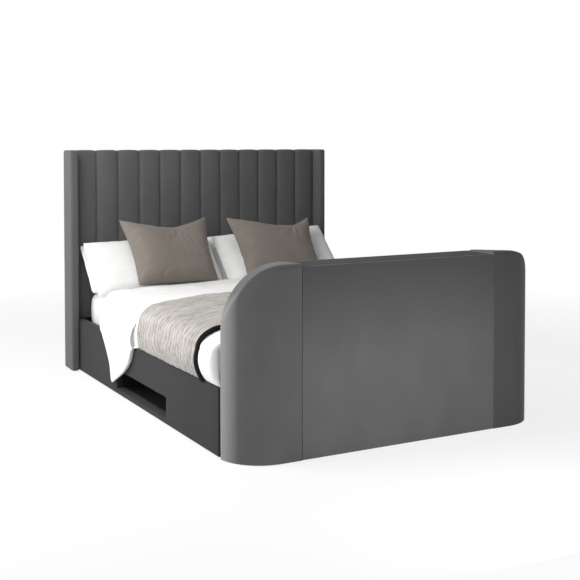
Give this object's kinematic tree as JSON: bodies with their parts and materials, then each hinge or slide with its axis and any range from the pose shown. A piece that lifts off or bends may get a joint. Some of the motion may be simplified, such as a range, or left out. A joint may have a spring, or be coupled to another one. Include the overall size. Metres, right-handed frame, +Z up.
{
  "type": "tv bed",
  "caption": "Upholstered bed with a fluted headboard, a rounded footboard pod that raises a television on a telescopic lift, a media recess in one rail, slats and bedding.",
  "frame": {"origin": "on the floor, in the middle of the bed's overall width and length", "axes": "+Z up, +Y from the footboard to the headboard, +X to the right as seen from the foot of the bed"},
  "size_m": [1.74, 2.355, 1.32],
  "materials": {
    "velvet": "short-pile velvet, charcoal",
    "dust_cloth": "thin black non-woven cloth",
    "panel_board": "raw panel board",
    "pine": "planed softwood, unfinished",
    "dark_laminate": "dark laminate, satin",
    "steel": "zinc-plated, satin",
    "black_steel": "black powder coat",
    "black_plastic": "fine grain, matte",
    "screen_glass": "dark semi-gloss panel",
    "white_cotton": "plain-weave cotton, white",
    "greige_quilt": "fine wavy ribbed quilt, greige",
    "taupe_velvet": "soft velvet, taupe"
  },
  "bodies": {
    "bed": {"headboard_fluted_pad": "velvet", "headboard_wing_left": "velvet", "headboard_wing_right": "velvet", "side_rail_left": "velvet", "side_rail_right": "velvet", "pod_end_left": "velvet", "pod_end_right": "velvet", "pod_front_panel": "velvet", "pod_back_panel": "velvet", "headboard_back_cover": "dust_cloth", "headboard_board": "panel_board", "pod_base_board": "panel_board", "headboard_strut_left": "pine", "headboard_strut_right": "pine", "ledger_left": "pine", "ledger_right": "pine", "centre_rail": "pine", "centre_leg_1": "pine", "centre_leg_2": "pine", "slat_01": "pine", "slat_02": "pine", "slat_03": "pine", "slat_04": "pine", "slat_05": "pine", "slat_06": "pine", "slat_07": "pine", "slat_08": "pine", "slat_09": "pine", "slat_10": "pine", "slat_11": "pine", "media_shelf": "dark_laminate", "rail_bracket_left_foot": "steel", "rail_bracket_left_head": "steel", "rail_bracket_right_foot": "steel", "rail_bracket_right_head": "steel", "lift_outer_column": "black_steel", "lift_motor": "black_plastic", "control_box": "black_plastic", "headboard_glide_left": "black_plastic", "headboard_glide_right": "black_plastic", "footboard_glide_left": "black_plastic", "footboard_glide_right": "black_plastic", "mattress": "white_cotton", "duvet": "white_cotton", "back_pillow_left": "white_cotton", "back_pillow_right": "white_cotton", "front_pillow_left": "white_cotton", "front_pillow_right": "white_cotton", "throw": "greige_quilt", "cushion_left": "taupe_velvet", "cushion_right": "taupe_velvet"},
    "lift_middle_stage": {"lift_middle_column": "steel"},
    "tv_carriage": {"lift_inner_column": "steel", "tv_head_bracket": "black_steel", "lid_bracket": "black_steel", "pod_lid": "velvet", "tv_arm_left": "black_steel", "tv_arm_right": "black_steel", "tv_back_shell": "black_plastic", "tv_screen": "screen_glass"}
  },
  "joints": [
    {"name": "lift_lower_slide", "type": "slide", "parent": "bed", "child": "lift_middle_stage", "axis": [0, 0, 1], "range_m": [0, 0.318]},
    {"name": "lift_upper_slide", "type": "slide", "parent": "lift_middle_stage", "child": "tv_carriage", "axis": [0, 0, 1], "range_m": [0, 0.318]}
  ],
  "couplings": [
    {"joint": "lift_upper_slide", "follows": "lift_lower_slide", "ratio": 1}
  ]
}
